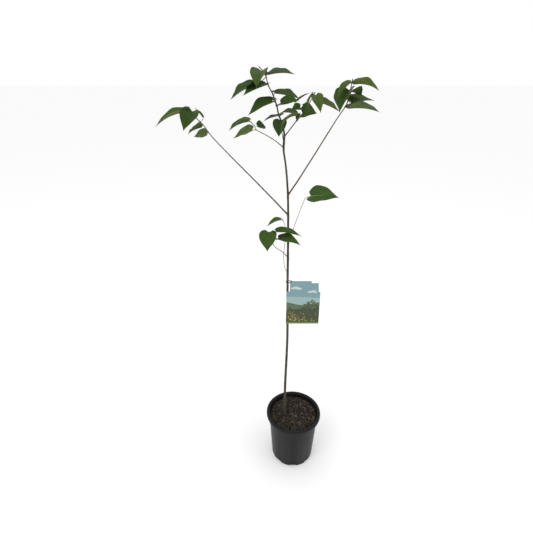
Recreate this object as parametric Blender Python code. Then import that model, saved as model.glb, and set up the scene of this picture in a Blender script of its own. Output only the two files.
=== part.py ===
"""A young Japanese raisin tree in a black nursery pot, at its real size.

The tables below are in millimetres and degrees, and the scene is in metres. +Z is up, +Y points away
from the front, +X is to the right, and the origin is the centre of the pot's flat underside.
"""
import math
import random
from collections import namedtuple

import bpy
import numpy as np

MM = 0.001
GAP = 0.3  # clearance between solids that meet

# Pot: a tapered tub with a turned-down lip and drain slots round its foot
POT_HEIGHT = 172
POT_RIM_RADIUS = 82.5
POT_TOP_RADIUS = 74.2
POT_FOOT_RADIUS = 64
POT_WALL = 1.6
POT_FLOOR = 3
LIP_DEPTH = 10
DRAIN_SLOTS = 8
DRAIN_SLOT_WIDTH = 20
DRAIN_SLOT_HEIGHT = 6
DRAIN_SLOT_REACH = 9  # how far a slot runs in under the floor

# Potting mix: bark chips up to a little below the rim
SOIL_TOP = 160
SOIL_HOLLOWS = 5  # depth of the hollows between the chips
SOIL_RINGS = 6

# Trunk: from its flat cut at the soil to where it enters the top spray
TRUNK_ROUTE = [
    (-27, 0, 160.3), (-27.5, 0, 220), (-28, 0, 280), (-26, 0, 410), (-26, 0, 480), (-29, 0, 605), (-30.5, 2, 715),
    (-33, 4, 830), (-36, 4, 880), (-41, 4, 925), (-46, 4, 956), (-45.5, 4, 990), (-52.5, 5, 1015), (-55, 5, 1021),
    (-59, 6, 1032), (-62, 8, 1045), (-70, 11, 1066), (-80, 15, 1084), (-86, 18, 1104), (-96, 20, 1115),
]
TRUNK_TOP = 1021  # height at which the trunk enters the top spray
TRUNK_RADIUS = 3.9
LEADER_RADIUS = 1.7
TIP_RADIUS = 0.8
FLARE = 2.2  # extra radius of the root flare
FLARE_HEIGHT = 9
NODE_SWELLING = 0.35
TRUNK_SIDES = 10

# Label: a hanging card with shoulders, held by a strap round the trunk
CARD_OUTLINE = [
    (-31.5, 502), (56.5, 502), (56, 600.5), (52, 600.5), (50, 627), (32, 627), (32, 633), (-23, 633), (-23, 602),
    (-31, 602),
]
CARD_BACK = -3.5  # y of the face towards the trunk
CARD_THICKNESS = 0.6
HOLE_RADIUS = 2.1
HOLE_SIDES = 12
STRAP_HEIGHT = 2
STRAP_THICKNESS = 0.9
STRAP_INNER_RADIUS = 4.6
STRAP_LEVEL = 629
STRAP_LEFT = -28.6  # x of the two bends' centres
STRAP_RIGHT = -21
STRAP_MIDDLE = -0.2  # y of the bends' centres

# A bough runs from the trunk to its spray, which starts at `spray_at` along the route (0 to 1)
Bough = namedtuple("Bough", "name route radius tip_radius spray_at spray")
BOUGHS = [
    Bough("left_long_bough",
          [(-32.3, 3.6, 807), (-72, 8, 848), (-116, 15, 892), (-156, 22, 931), (-192.5, 30, 967), (-210, 34, 986),
           (-222, 38, 1002), (-239, 42, 1019), (-245, 43, 1027)],
          1.8, 0.9, 0.83, "left_spray"),
    Bough("right_long_bough",
          [(-34, 4, 855), (-12.5, -3, 891), (14, -12, 939), (36, -21, 980), (58, -30, 1021), (67, -33, 1036),
           (71, -35, 1043), (76, -38, 1055), (79, -42, 1077), (80.5, -44, 1092)],
          1.8, 0.9, 0.765, "right_spray"),
    Bough("short_left_bough",
          [(-46, 4, 961), (-65, 15, 974), (-85, 28, 984), (-106, 40, 993), (-110, 44, 1001), (-120, 48, 1010)],
          1.15, 0.8, 0.72, "short_left_spray"),
    Bough("short_right_bough",
          [(-45.5, 4, 983), (-32, -9, 1003), (-18.5, -22, 1022.5), (-12, -25, 1028), (-6, -28, 1039),
           (1, -32, 1051), (9.5, -36, 1069)],
          1.25, 0.8, 0.42, "short_right_spray"),
]

# A shoot is a spray whose own stem starts at the trunk
Shoot = namedtuple("Shoot", "spray route radius tip_radius")
SHOOTS = [
    Shoot("low_left_spray", [(-30.5, 1.5, 698), (-47, -9, 719), (-63, -20, 735), (-68, -26, 748), (-63, -30, 762)],
          0.95, 0.8),
    Shoot("low_leaf_shoot", [(-30, 1, 655), (-38, 2, 671), (-41, 3, 704), (-38.5, 1, 738), (-39, -3, 780),
                             (-45, -6, 797)], 0.8, 0.7),
    Shoot("right_leaf_shoot", [(-31, 2.3, 741), (-22, -9, 770), (-15.5, -20, 799), (0, -40, 857), (5, -44, 864)],
          0.8, 0.7),
    Shoot("fork_leaf_shoot", [(-46, 4, 971), (-50, -5, 990), (-53, -11, 1008), (-54, -14, 1017)], 0.8, 0.7),
]

# A leaf: where its stalk leaves the stem (0 to 1), the stalk's run to the blade, the blade's heading
# (0 right, 90 away, 180 left, 270 front), the slope of its chord, its length and width, how far it
# arches, and its roll about the chord (positive turns its upper face to its own right).
Leaf = namedtuple("Leaf", "at stalk heading slope length width arch roll")
LEAVES = {
    "left_spray": [
        Leaf(0.06, (-2, -6, -5), 215, -6, 32, 28, 20, 55),
        Leaf(0.42, (-3, -5, -6), 230, -15, 40, 30, 25, 30),
        Leaf(0.55, (4, 12, 9), 150, 40, 29, 12, 15, 10),
        Leaf(0.96, (-1, -6, 6), 241, -46, 52, 44, 40, -25),
        Leaf(1.00, (-11, 2, 3), 203, -21, 80, 38, 40, -5),
    ],
    "right_spray": [
        Leaf(0.26, (7, -4, -3), 8, -7, 66, 46, 25, -5),
        Leaf(0.45, (9, 3, -4), 30, 2, 60, 46, 15, 14),
        Leaf(0.72, (3, 3, -1), 40, -14, 36, 34, 25, -15),
        Leaf(0.74, (-4, -6, 1), 233, -50, 50, 46, 30, 10),
        Leaf(1.00, (4, -2, -5), 336, -13, 51, 40, 45, 8),
        Leaf(0.98, (-2, -3, -1), 223, -32, 50, 20, 45, -5),
    ],
    "short_left_spray": [
        Leaf(0.12, (-10, -3, 0), 215, -16, 52, 32, 15, 50),
        Leaf(0.90, (14, 10, -10), 45, -10, 28, 26, 15, 45),
        Leaf(1.00, (-4, -3, 0), 208, -20, 51, 38, 32, 12),
    ],
    "top_spray": [
        Leaf(0.05, (4, -4, 1), 217, -11, 48, 22, 20, 10),
        Leaf(0.24, (8, -5, 5), 316, 8, 50, 32, 12, 40),
        Leaf(0.25, (-9, -4, 8), 215, -22, 66, 42, 10, -12),
        Leaf(0.35, (-3, 6, 0), 150, -18, 42, 34, 15, 10),
        Leaf(0.43, (4, 5, 5), 24, -12, 60, 40, 12, -10),
        Leaf(0.66, (-4, -6, 0), 220, -17, 64, 42, 8, -5),
        Leaf(0.80, (-22, -6, -13), 208, -26, 64, 44, 20, -2),
        Leaf(0.84, (7, 0, 1), 340, 0, 56, 40, 25, 10),
        Leaf(0.84, (0, 3, 0), 86, 60, 12, 9, 10, 0),
        Leaf(0.95, (-1, -6, -2), 256, -36, 52, 42, 40, 3),
    ],
    "short_right_spray": [
        Leaf(0.04, (1, 3, 3), 57, 40, 18, 9, 20, 0),
        Leaf(0.05, (-1, -1, 12), 158, 2, 36, 26, 25, 20),
        Leaf(0.07, (-4, 0, 34), 349, 31, 34, 12, 20, 0),
        Leaf(0.10, (-6, -20, 9), 200, -46, 49, 26, 90, 20),
        Leaf(0.26, (1, -4, 5), 325, 3, 34, 40, 25, 50),
        Leaf(0.44, (-9, 3, 6), 215, -8, 25, 20, 20, -45),
        Leaf(0.50, (4, 9, -3), 110, 20, 30, 16, 20, 40),
        Leaf(0.92, (6, 3, -7), 15, -22, 60, 34, 12, -5),
        Leaf(0.97, (4, -4, 0), 291, -51, 42, 24, 65, 20),
        Leaf(0.99, (-3, -3, 1), 244, -52, 32, 14, 40, 50),
    ],
    "low_left_spray": [
        Leaf(0.90, (-11, 3, 20), 262, -50, 48, 44, 40, 5),
        Leaf(0.97, (3, 3, 17), 344, -5, 62, 32, 25, 5),
        Leaf(1.00, (7, -3, 0), 328, -3, 60, 38, 30, 10),
    ],
    "low_leaf_shoot": [Leaf(1.00, (-4, -1, 2), 212, -13, 41, 22, 35, 0)],
    "right_leaf_shoot": [Leaf(1.00, (8, -1, 3), 335, 4, 64, 46, 30, 38)],
    "fork_leaf_shoot": [Leaf(1.00, (0, 0, 1), 258, -58, 37, 31, 45, 0)],
}

# The crown's space: a leaf that would leave it or come this near a limb is left off
CROWN_LOW = np.array([-340, -110, 640])
CROWN_HIGH = np.array([160, 140, 1125])
LIMB_CLEARANCE = 0.8

# Blade
BLADE_STATIONS = [0, 0.14, 0.36, 0.6, 0.83, 1]
BLADE_SIDE_POINTS = [-1, -0.5, 0, 0.5, 1]
BLADE_SLENDERNESS = 72  # length over thickness
BLADE_LEAST_THICKNESS = 0.6
BLADE_BACK_SWEEP = 0.09  # how far the base lobes reach back, as a share of the length
BLADE_TIP_HALF_WIDTH = 0.6
FOLD_RANGE = (20, 32)
STALK_RADIUS = 0.75
STALK_SIDES = 4
STALK_SINK = 0.16  # share of the blade's length that its stalk runs on under it
BUD_LENGTH = 5
STEM_SIDES = 6
BOUGH_SIDES = 8
COLLAR = 0.35  # how much thicker a limb is where it leaves the trunk
COLLAR_LENGTH = 6


def clear_scene():
    """Removes every object and mesh that the scene starts with."""
    for old in list(bpy.data.objects):
        bpy.data.objects.remove(old, do_unlink=True)
    for old in list(bpy.data.meshes):
        bpy.data.meshes.remove(old)


def principled(name, colour, roughness):
    """A Principled material of one colour."""
    material = bpy.data.materials.new(name)
    material.use_nodes = True
    shader = material.node_tree.nodes["Principled BSDF"]
    shader.inputs["Base Color"].default_value = (*colour, 1)
    shader.inputs["Roughness"].default_value = roughness
    shader.inputs["Metallic"].default_value = 0
    return material


def new_object(name, points, faces, material=None):
    """A mesh object from points in millimetres, with its faces pointing out."""
    mesh = bpy.data.meshes.new(name)
    mesh.from_pydata([tuple(float(c) * MM for c in point) for point in points], [], faces)
    mesh.validate()
    mesh.shade_smooth()
    mesh.set_sharp_from_angle(angle=math.radians(35))
    obj = bpy.data.objects.new(name, mesh)
    bpy.context.scene.collection.objects.link(obj)
    if material:
        mesh.materials.append(material)
    return obj


def unit(vector):
    """The vector at length 1."""
    return vector / np.linalg.norm(vector)


def smooth_route(points, spacing):
    """Evenly spaced points along a Catmull-Rom curve through the given points."""
    knots = np.array(points, float)
    ends = np.vstack([2 * knots[0] - knots[1], knots, 2 * knots[-1] - knots[-2]])
    fine = []
    for a, b, c, d in zip(ends, ends[1:], ends[2:], ends[3:]):
        for t in np.linspace(0, 1, 24, endpoint=False):
            fine.append(0.5 * (2 * b + (c - a) * t + (2 * a - 5 * b + 4 * c - d) * t**2
                               + (3 * b - a - 3 * c + d) * t**3))
    fine.append(knots[-1])
    fine = np.array(fine)
    steps = np.linalg.norm(np.diff(fine, axis=0), axis=1)
    along = np.concatenate([[0], np.cumsum(steps)])
    count = max(2, int(round(along[-1] / spacing)) + 1)
    at = np.linspace(0, along[-1], count)
    return np.stack([np.interp(at, along, fine[:, k]) for k in range(3)], axis=1)


def route_lengths(route):
    """The distance along the route to each of its points."""
    return np.concatenate([[0], np.cumsum(np.linalg.norm(np.diff(route, axis=0), axis=1))])


def point_at(route, share):
    """The point at a share (0 to 1) of the route's length."""
    along = route_lengths(route)
    return np.array([np.interp(share * along[-1], along, route[:, k]) for k in range(3)])


def split_route(route, share):
    """The route up to that share of its length, and the rest, which starts one gap further on."""
    along = route_lengths(route)
    cut = share * along[-1]
    first = np.vstack([route[along < cut - 1], point_at(route, share)])
    rest = np.vstack([point_at(route, (cut + GAP) / along[-1]), route[along > cut + GAP + 1]])
    return first, rest


def ring_directions(route):
    """Two unit vectors across the route at each point, turned as little as possible on the way."""
    tangents = np.gradient(route, axis=0)
    across = np.array([1.0, 0, 0])
    pairs = []
    for tangent in tangents:
        tangent = unit(tangent)
        across = unit(across - tangent * np.dot(across, tangent))
        pairs.append((across, np.cross(tangent, across)))
    return pairs


def tube(name, route, radii, sides, material=None):
    """A closed round limb along the route, with flat ends."""
    points = []
    for centre, radius, (across, over) in zip(route, radii, ring_directions(route)):
        for k in range(sides):
            turn = 2 * math.pi * k / sides
            points.append(centre + radius * (math.cos(turn) * across + math.sin(turn) * over))
    faces = [list(range(sides))[::-1]]
    for ring in range(len(route) - 1):
        for k in range(sides):
            a = ring * sides + k
            b = ring * sides + (k + 1) % sides
            faces.append([a, b, b + sides, a + sides])
    last = (len(route) - 1) * sides
    faces.append(list(range(last, last + sides)))
    return new_object(name, points, faces, material)


def turned(name, profile, segments, material=None):
    """A solid of revolution about Z from a profile of (radius, z) that starts and ends on the axis."""
    points = [(0, 0, profile[0][1]), (0, 0, profile[-1][1])]
    for radius, z in profile[1:-1]:
        for k in range(segments):
            turn = 2 * math.pi * k / segments
            points.append((radius * math.cos(turn), radius * math.sin(turn), z))
    faces = []
    rings = len(profile) - 2
    for k in range(segments):
        after = (k + 1) % segments
        faces.append([0, 2 + after, 2 + k])
        for ring in range(rings - 1):
            low = 2 + ring * segments
            faces.append([low + k, low + after, low + segments + after, low + segments + k])
        top = 2 + (rings - 1) * segments
        faces.append([1, top + k, top + after])
    return new_object(name, points, faces, material)


def prism(name, outline, low, high, axis, material=None):
    """A closed prism over an outline of (a, b) pairs, from low to high along the "y" or "z" axis."""
    def place(a, b, height):
        return (a, height, b) if axis == "y" else (a, b, height)

    count = len(outline)
    points = [place(a, b, low) for a, b in outline] + [place(a, b, high) for a, b in outline]
    faces = [list(range(count))[::-1], list(range(count, 2 * count))]
    for k in range(count):
        after = (k + 1) % count
        faces.append([k, after, after + count, k + count])
    if axis == "y":
        faces = [face[::-1] for face in faces]
    return new_object(name, points, faces, material)


def subtract(obj, cutter):
    """Cuts the cutter out of the object, and keeps the cutter as a wire guide."""
    cut = obj.modifiers.new("cut", "BOOLEAN")
    cut.operation = "DIFFERENCE"
    cut.solver = "EXACT"
    cut.object = cutter
    cutter.hide_render = True
    cutter.display_type = "WIRE"


def fuse(name, pieces, material):
    """One closed body from overlapping pieces, by one union on a collection of all but the first."""
    body = pieces[0]
    group = bpy.data.collections.new(name + "_pieces")
    bpy.context.scene.collection.children.link(group)
    for piece in pieces[1:]:
        bpy.context.scene.collection.objects.unlink(piece)
        group.objects.link(piece)
    union = body.modifiers.new("union", "BOOLEAN")
    union.operation = "UNION"
    union.operand_type = "COLLECTION"
    union.collection = group
    union.solver = "MANIFOLD"
    bpy.context.view_layer.update()
    joined = bpy.data.meshes.new_from_object(body.evaluated_get(bpy.context.evaluated_depsgraph_get()))
    body.modifiers.clear()
    body.data = joined
    for piece in pieces[1:]:
        bpy.data.objects.remove(piece, do_unlink=True)
    bpy.data.collections.remove(group)
    body.name = name
    joined.name = name
    joined.materials.clear()
    joined.materials.append(material)
    return body


def pot_profile():
    """The pot's section: under the floor, up the wall, round the turned-down lip and down inside."""
    lip_in = POT_TOP_RADIUS + 0.6
    lip_roof = POT_HEIGHT - POT_WALL - 0.6
    lip_foot = POT_HEIGHT - LIP_DEPTH
    inner_top = POT_TOP_RADIUS - POT_WALL
    inner_foot = POT_FOOT_RADIUS - POT_WALL
    return [
        (0, 0), (POT_FOOT_RADIUS - 3, 0), (POT_FOOT_RADIUS - 0.8, 1), (POT_FOOT_RADIUS, 4),
        (POT_TOP_RADIUS, lip_foot), (lip_in, lip_roof), (POT_RIM_RADIUS - POT_WALL, lip_roof),
        (POT_RIM_RADIUS - POT_WALL, lip_foot), (POT_RIM_RADIUS - 0.3, lip_foot), (POT_RIM_RADIUS, lip_foot + 1),
        (POT_RIM_RADIUS, POT_HEIGHT - 3.5), (POT_RIM_RADIUS - 1.6, POT_HEIGHT - 0.8),
        (POT_RIM_RADIUS - 4, POT_HEIGHT), (POT_TOP_RADIUS + 1.2, POT_HEIGHT - 0.6),
        (POT_TOP_RADIUS - 0.6, POT_HEIGHT - 3), (inner_top, lip_foot), (inner_foot, POT_FLOOR), (0, POT_FLOOR),
    ]


def make_pot():
    """The pot, with its drain slots cut through the corner of the foot."""
    pot = turned("pot", pot_profile(), 40, principled("pot_plastic", (0.012, 0.013, 0.013), 0.55))
    inner = POT_FOOT_RADIUS - DRAIN_SLOT_REACH
    outer = POT_FOOT_RADIUS + 10
    half = DRAIN_SLOT_WIDTH / 2
    for k in range(DRAIN_SLOTS):
        turn = 2 * math.pi * k / DRAIN_SLOTS
        cos, sin = math.cos(turn), math.sin(turn)
        corners = [(inner, -half), (outer, -half), (outer, half), (inner, half)]
        outline = [(x * cos - y * sin, x * sin + y * cos) for x, y in corners]
        subtract(pot, prism(f"drain_slot_cutter_{k}", outline, -5, DRAIN_SLOT_HEIGHT, "z"))
    return pot


def make_soil():
    """The potting mix inside the pot, with hollows between its chips and a level place round the trunk."""
    rise = SOIL_TOP / (POT_HEIGHT - LIP_DEPTH)
    clear = POT_WALL + GAP + 0.35  # the extra covers the flats of both turned sides
    top_radius = POT_FOOT_RADIUS + (POT_TOP_RADIUS - POT_FOOT_RADIUS) * rise - clear
    low_radius = POT_FOOT_RADIUS - clear
    rings = [(top_radius * k / SOIL_RINGS, SOIL_TOP) for k in range(SOIL_RINGS, 0, -1)]
    profile = [(0, POT_FLOOR + GAP), (low_radius, POT_FLOOR + GAP), *rings, (0, SOIL_TOP)]
    soil = turned("soil", profile, 36, principled("bark_chips", (0.055, 0.035, 0.022), 0.95))
    rng = random.Random(11)
    foot = np.array(TRUNK_ROUTE[0][:2]) * MM
    for vertex in soil.data.vertices:
        away = np.linalg.norm(np.array(vertex.co[:2]) - foot)
        if vertex.co.z > (SOIL_TOP - 1) * MM and away > 13 * MM:
            vertex.co.z -= rng.uniform(0, SOIL_HOLLOWS) * MM
    return soil


def trunk_radii(route, extra=0):
    """The trunk's taper, with its root flare and a swelling where each bough and shoot leaves it."""
    foot = TRUNK_ROUTE[0][2]
    joints = [bough.route[0][2] for bough in BOUGHS] + [shoot.route[0][2] for shoot in SHOOTS]
    radii = []
    for point in route:
        height = point[2] - foot
        share = min(1, height / (TRUNK_TOP - foot))
        radius = LEADER_RADIUS + (TRUNK_RADIUS - LEADER_RADIUS) * (1 - share) ** 0.75
        radius += FLARE * math.exp(-height / FLARE_HEIGHT)
        radius += NODE_SWELLING * sum(math.exp(-(((point[2] - joint) / 9) ** 2)) for joint in joints)
        radii.append(radius + extra)
    return radii


def trunk_and_leader_routes():
    """The whole leader's route, cut where the trunk enters the top spray."""
    route = smooth_route(TRUNK_ROUTE, 18)
    along = route_lengths(route)
    return split_route(route, np.interp(TRUNK_TOP, route[:, 2], along) / along[-1])


def level_foot(limb, sides):
    """Brings the limb's first ring to one height, so that its cut is level."""
    for vertex in limb.data.vertices[:sides]:
        vertex.co.z = TRUNK_ROUTE[0][2] * MM


def make_trunk(route):
    """The trunk from its flat cut at the soil to the top spray."""
    trunk = tube("trunk", route, trunk_radii(route), TRUNK_SIDES, principled("trunk_bark", (0.07, 0.06, 0.045), 0.8))
    level_foot(trunk, TRUNK_SIDES)
    return trunk


def trunk_cutter(name, route):
    """A wire guide one gap thicker than the trunk, which trims the limbs that meet it."""
    return tube(name, route, trunk_radii(route, GAP / math.cos(math.pi / TRUNK_SIDES)), TRUNK_SIDES)


def limb_radii(route, radius, tip_radius, from_trunk):
    """An even taper, with a collar where the limb leaves the trunk."""
    along = route_lengths(route)
    radii = radius + (tip_radius - radius) * along / along[-1]
    if from_trunk:
        radii = radii * (1 + COLLAR * np.exp(-np.maximum(0, along - 2) / COLLAR_LENGTH))
    return radii


def blade_half_width(share, width):
    """Half the blade's width at a share of its length: rounded lobes, then a drawn-out tip."""
    swell = math.sin(math.pi * (0.03 + 0.97 * min(share, 0.9999)) ** 0.6)
    return max(BLADE_TIP_HALF_WIDTH, width / 2 * swell ** (0.8 + 0.6 * share))


def blade_axes(leaf):
    """The blade's chord, left side and upper normal as unit vectors."""
    heading = math.radians(leaf.heading)
    slope = math.radians(leaf.slope)
    roll = math.radians(leaf.roll)
    chord = np.array([math.cos(heading) * math.cos(slope), math.sin(heading) * math.cos(slope), math.sin(slope)])
    right = np.array([math.sin(heading), -math.cos(heading), 0])
    normal = np.cross(right, chord)
    rolled = normal * math.cos(roll) + right * math.sin(roll)
    return chord, np.cross(rolled, chord), rolled


def rib_point(leaf, share):
    """The midrib's place along the chord and above it, and its slope, at a share of its length."""
    arch = math.radians(leaf.arch)
    radius = leaf.length / arch
    angle = arch * (0.5 - share)
    along = radius * (math.sin(arch / 2) - math.sin(angle))
    above = radius * (math.cos(angle) - math.cos(arch / 2))
    return along, above, angle


def blade_points(leaf, base, fold):
    """The upper and lower points of the blade, station by station, each from left to right."""
    chord, left, normal = blade_axes(leaf)
    thickness = max(BLADE_LEAST_THICKNESS, leaf.length / BLADE_SLENDERNESS)
    upper, lower = [], []
    for share in BLADE_STATIONS:
        half = blade_half_width(share, leaf.width)
        for side in BLADE_SIDE_POINTS:
            back = BLADE_BACK_SWEEP * abs(side) * (1 - share) ** 3
            along, above, angle = rib_point(leaf, share - back)
            up = chord * -math.sin(angle) + normal * math.cos(angle)
            lift = abs(side) * half * math.sin(fold)
            place = base + chord * along + normal * above + left * side * half * math.cos(fold) + up * lift
            upper.append(place + up * thickness / 2)
            lower.append(place - up * thickness / 2)
    return upper, lower


def make_blade(leaf, base, fold):
    """The blade as one closed solid: two skins joined round the margin."""
    upper, lower = blade_points(leaf, base, fold)
    across = len(BLADE_SIDE_POINTS)
    rows = len(BLADE_STATIONS)
    below = len(upper)
    faces = []
    for row in range(rows - 1):
        for k in range(across - 1):
            a = row * across + k
            faces.append([a, a + across, a + 1 + across, a + 1])
            faces.append([below + a, below + a + 1, below + a + 1 + across, below + a + across])
    rim = [row * across for row in range(rows)]
    rim += [(rows - 1) * across + k for k in range(1, across)]
    rim += [row * across + across - 1 for row in range(rows - 2, -1, -1)]
    rim += [k for k in range(across - 2, 0, -1)]
    for a, b in zip(rim, rim[1:] + rim[:1]):
        faces.append([b, a, below + a, below + b])
    return new_object("blade", upper + lower, faces)


def stalk_route(node, base, leaf):
    """The stalk's path: out of the stem, into line with the blade and on under its midrib."""
    chord, _, normal = blade_axes(leaf)
    half_arch = math.radians(leaf.arch) / 2
    start = unit(chord * math.cos(half_arch) + normal * math.sin(half_arch))
    reach = np.linalg.norm(base - node)
    bend = base - start * reach * 0.4
    path = []
    for t in np.linspace(0, 1, 4):
        path.append(node * (1 - t) ** 2 + bend * 2 * t * (1 - t) + base * t**2)
    for share in (STALK_SINK / 2, STALK_SINK):
        along, above, _ = rib_point(leaf, share)
        path.append(base + chord * along + normal * above)
    return np.array(path)


def near_limb(points, limbs):
    """Whether any of the points comes too near the skin of a limb, given as (route, radii) pairs."""
    for route, radii in limbs:
        for centre, radius in zip(route, radii):
            if np.min(np.linalg.norm(np.array(points) - centre, axis=1)) < radius + LIMB_CLEARANCE:
                return True
    return False


def keeps_its_space(points, limbs):
    """Whether a blade stays inside the crown's space and clear of every limb."""
    inside = np.all(np.array(points) > CROWN_LOW) and np.all(np.array(points) < CROWN_HIGH)
    return inside and not near_limb(points, limbs)


def make_spray(name, stem_route, radius, tip_radius, from_trunk, limbs, material):
    """A stem with a bud at its tip, and the leaves that branch from it, fused into one body."""
    rng = random.Random(name)
    stem_radii = limb_radii(stem_route, radius, tip_radius, from_trunk)
    tip_direction = unit(stem_route[-1] - stem_route[-2])
    bud = [stem_route[-1] - tip_direction, stem_route[-1] + tip_direction * BUD_LENGTH * 0.4,
           stem_route[-1] + tip_direction * BUD_LENGTH]
    pieces = [
        tube(name, stem_route, stem_radii, STEM_SIDES),
        tube("bud", np.array(bud), [tip_radius * 0.9, tip_radius * 1.35, 0.3], STEM_SIDES - 1),
    ]
    for leaf in LEAVES[name]:
        fold = math.radians(rng.uniform(*FOLD_RANGE))
        node = point_at(stem_route, leaf.at)
        base = node + np.array(leaf.stalk, float)
        if not keeps_its_space(blade_points(leaf, base, fold)[0], limbs):
            print("left off:", name, leaf)
            continue
        pieces.append(make_blade(leaf, base, fold))
        path = stalk_route(node, base, leaf)
        pieces.append(tube("stalk", path, np.linspace(1, 0.8, len(path)) * STALK_RADIUS, STALK_SIDES))
    return fuse(name, pieces, material)


def make_crown(trunk_route, leader_route):
    """The boughs, and every spray of leaves on its bough, its shoot or the trunk's leader."""
    leaf_colour = (0.045, 0.11, 0.02)
    limbs = [(trunk_route, trunk_radii(trunk_route))]
    sprays = [("top_spray", leader_route, LEADER_RADIUS, TIP_RADIUS, False)]
    for number, bough in enumerate(BOUGHS):
        route = smooth_route(bough.route, 12)
        limb, stem = split_route(route, bough.spray_at)
        joint_radius = bough.radius + (bough.tip_radius - bough.radius) * bough.spray_at
        radii = limb_radii(limb, bough.radius, joint_radius, True)
        bark = principled(bough.name + "_bark", (0.10, 0.065, 0.035), 0.75)
        obj = tube(bough.name, limb, radii, BOUGH_SIDES, bark)
        subtract(obj, trunk_cutter(f"{bough.name}_cutter", trunk_route))
        limbs.append((limb[1:], radii[1:]))
        sprays.append((bough.spray, smooth_route(stem, 7), joint_radius, bough.tip_radius, False))
    for name, route, radius, tip_radius, from_trunk in sprays:
        make_spray(name, route, radius, tip_radius, from_trunk, limbs, principled(name + "_leaf", leaf_colour, 0.5))
    for shoot in SHOOTS:
        route = smooth_route(shoot.route, 11)
        material = principled(shoot.spray + "_leaf", leaf_colour, 0.5)
        spray = make_spray(shoot.spray, route, shoot.radius, shoot.tip_radius, True, limbs, material)
        subtract(spray, trunk_cutter(f"{shoot.spray}_cutter", trunk_route))


def make_card():
    """The label's card, with a round hole for the strap."""
    card = prism("label_card", CARD_OUTLINE, CARD_BACK - CARD_THICKNESS, CARD_BACK, "y",
                 principled("label_print", (0.35, 0.55, 0.6), 0.4))
    hole = []
    for k in range(HOLE_SIDES):
        turn = 2 * math.pi * (k + 0.5) / HOLE_SIDES
        x = STRAP_RIGHT + 3.45 + HOLE_RADIUS * math.cos(turn)
        hole.append((x, STRAP_LEVEL - 0.5 + HOLE_RADIUS * math.sin(turn)))
    subtract(card, prism("label_hole_cutter", hole, CARD_BACK - 5, CARD_BACK + 5, "y"))
    return card


def stadium(radius):
    """The strap's plan at a radius: a bend round the trunk and one through the card's hole."""
    outline = []
    for centre, start in ((STRAP_LEFT, 90), (STRAP_RIGHT, 270)):
        for turn in np.radians(np.linspace(start, start + 180, 11)):
            outline.append((centre + radius * math.cos(turn), STRAP_MIDDLE + radius * math.sin(turn)))
    return outline


def make_strap():
    """The strap that holds the card to the trunk."""
    outer = stadium(STRAP_INNER_RADIUS + STRAP_THICKNESS)
    inner = stadium(STRAP_INNER_RADIUS)
    low = STRAP_LEVEL - STRAP_HEIGHT / 2
    high = STRAP_LEVEL + STRAP_HEIGHT / 2
    count = len(outer)
    points = [(x, y, z) for z in (low, high) for ring in (outer, inner) for x, y in ring]
    faces = []
    for k in range(count):
        after = (k + 1) % count
        outer_low, inner_low, outer_high, inner_high = k, k + count, k + 2 * count, k + 3 * count
        step = after - k
        faces.append([outer_low, outer_low + step, outer_high + step, outer_high])
        faces.append([inner_low + step, inner_low, inner_high, inner_high + step])
        faces.append([outer_high, outer_high + step, inner_high + step, inner_high])
        faces.append([outer_low + step, outer_low, inner_low, inner_low + step])
    return new_object("label_strap", points, faces, principled("strap_plastic", (0.01, 0.01, 0.01), 0.45))


def main():
    """Builds the whole plant."""
    clear_scene()
    make_pot()
    make_soil()
    trunk_route, leader_route = trunk_and_leader_routes()
    make_trunk(trunk_route)
    make_crown(trunk_route, leader_route)
    make_card()
    make_strap()


main()
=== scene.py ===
"""The dressed young tree in its nursery pot, on a pale floor in soft studio light.

The tables are in millimetres and degrees, as in the part's source, and the scene is in metres.
"""

import math
import random
from collections import namedtuple

import bpy
import numpy as np
from mathutils import Euler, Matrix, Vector, noise


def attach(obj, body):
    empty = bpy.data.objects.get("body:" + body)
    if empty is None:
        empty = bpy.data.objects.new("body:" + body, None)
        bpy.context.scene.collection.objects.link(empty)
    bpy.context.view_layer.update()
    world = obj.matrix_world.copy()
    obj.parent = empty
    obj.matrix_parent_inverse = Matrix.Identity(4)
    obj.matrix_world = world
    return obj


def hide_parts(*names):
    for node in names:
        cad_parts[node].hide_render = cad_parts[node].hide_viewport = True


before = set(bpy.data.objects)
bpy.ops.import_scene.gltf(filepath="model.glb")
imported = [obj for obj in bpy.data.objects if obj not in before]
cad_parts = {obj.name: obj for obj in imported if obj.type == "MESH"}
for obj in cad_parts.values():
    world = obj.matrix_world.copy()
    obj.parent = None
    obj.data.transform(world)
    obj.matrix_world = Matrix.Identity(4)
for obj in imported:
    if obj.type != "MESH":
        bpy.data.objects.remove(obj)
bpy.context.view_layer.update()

MM = 0.001
SMOOTH_ANGLE = 40  # faces that meet at less than this are shaded smooth

# Camera, at the photograph's viewing angle
CAMERA_PLACE = (-0.0834, -0.857, 1.107)
CAMERA_PITCH = 26.87
CAMERA_FOCUS = 383  # focal length in pixels of a picture 533 wide
PICTURE_WIDTH = 533
SENSOR_WIDTH = 36

# Studio
FLOOR_REACH = 40000
FLOOR_COLOUR = (0.96, 0.96, 0.96)
BACKGROUND_STRENGTH = 1.0
LAMP_AIM = (0, 0, 0.6)
Lamp = namedtuple("Lamp", "name place size power")
LAMPS = [Lamp("key", (-1.4, -1.6, 2.6), 1.6, 20), Lamp("fill", (1.8, -0.6, 1.9), 1.8, 6)]

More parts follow.
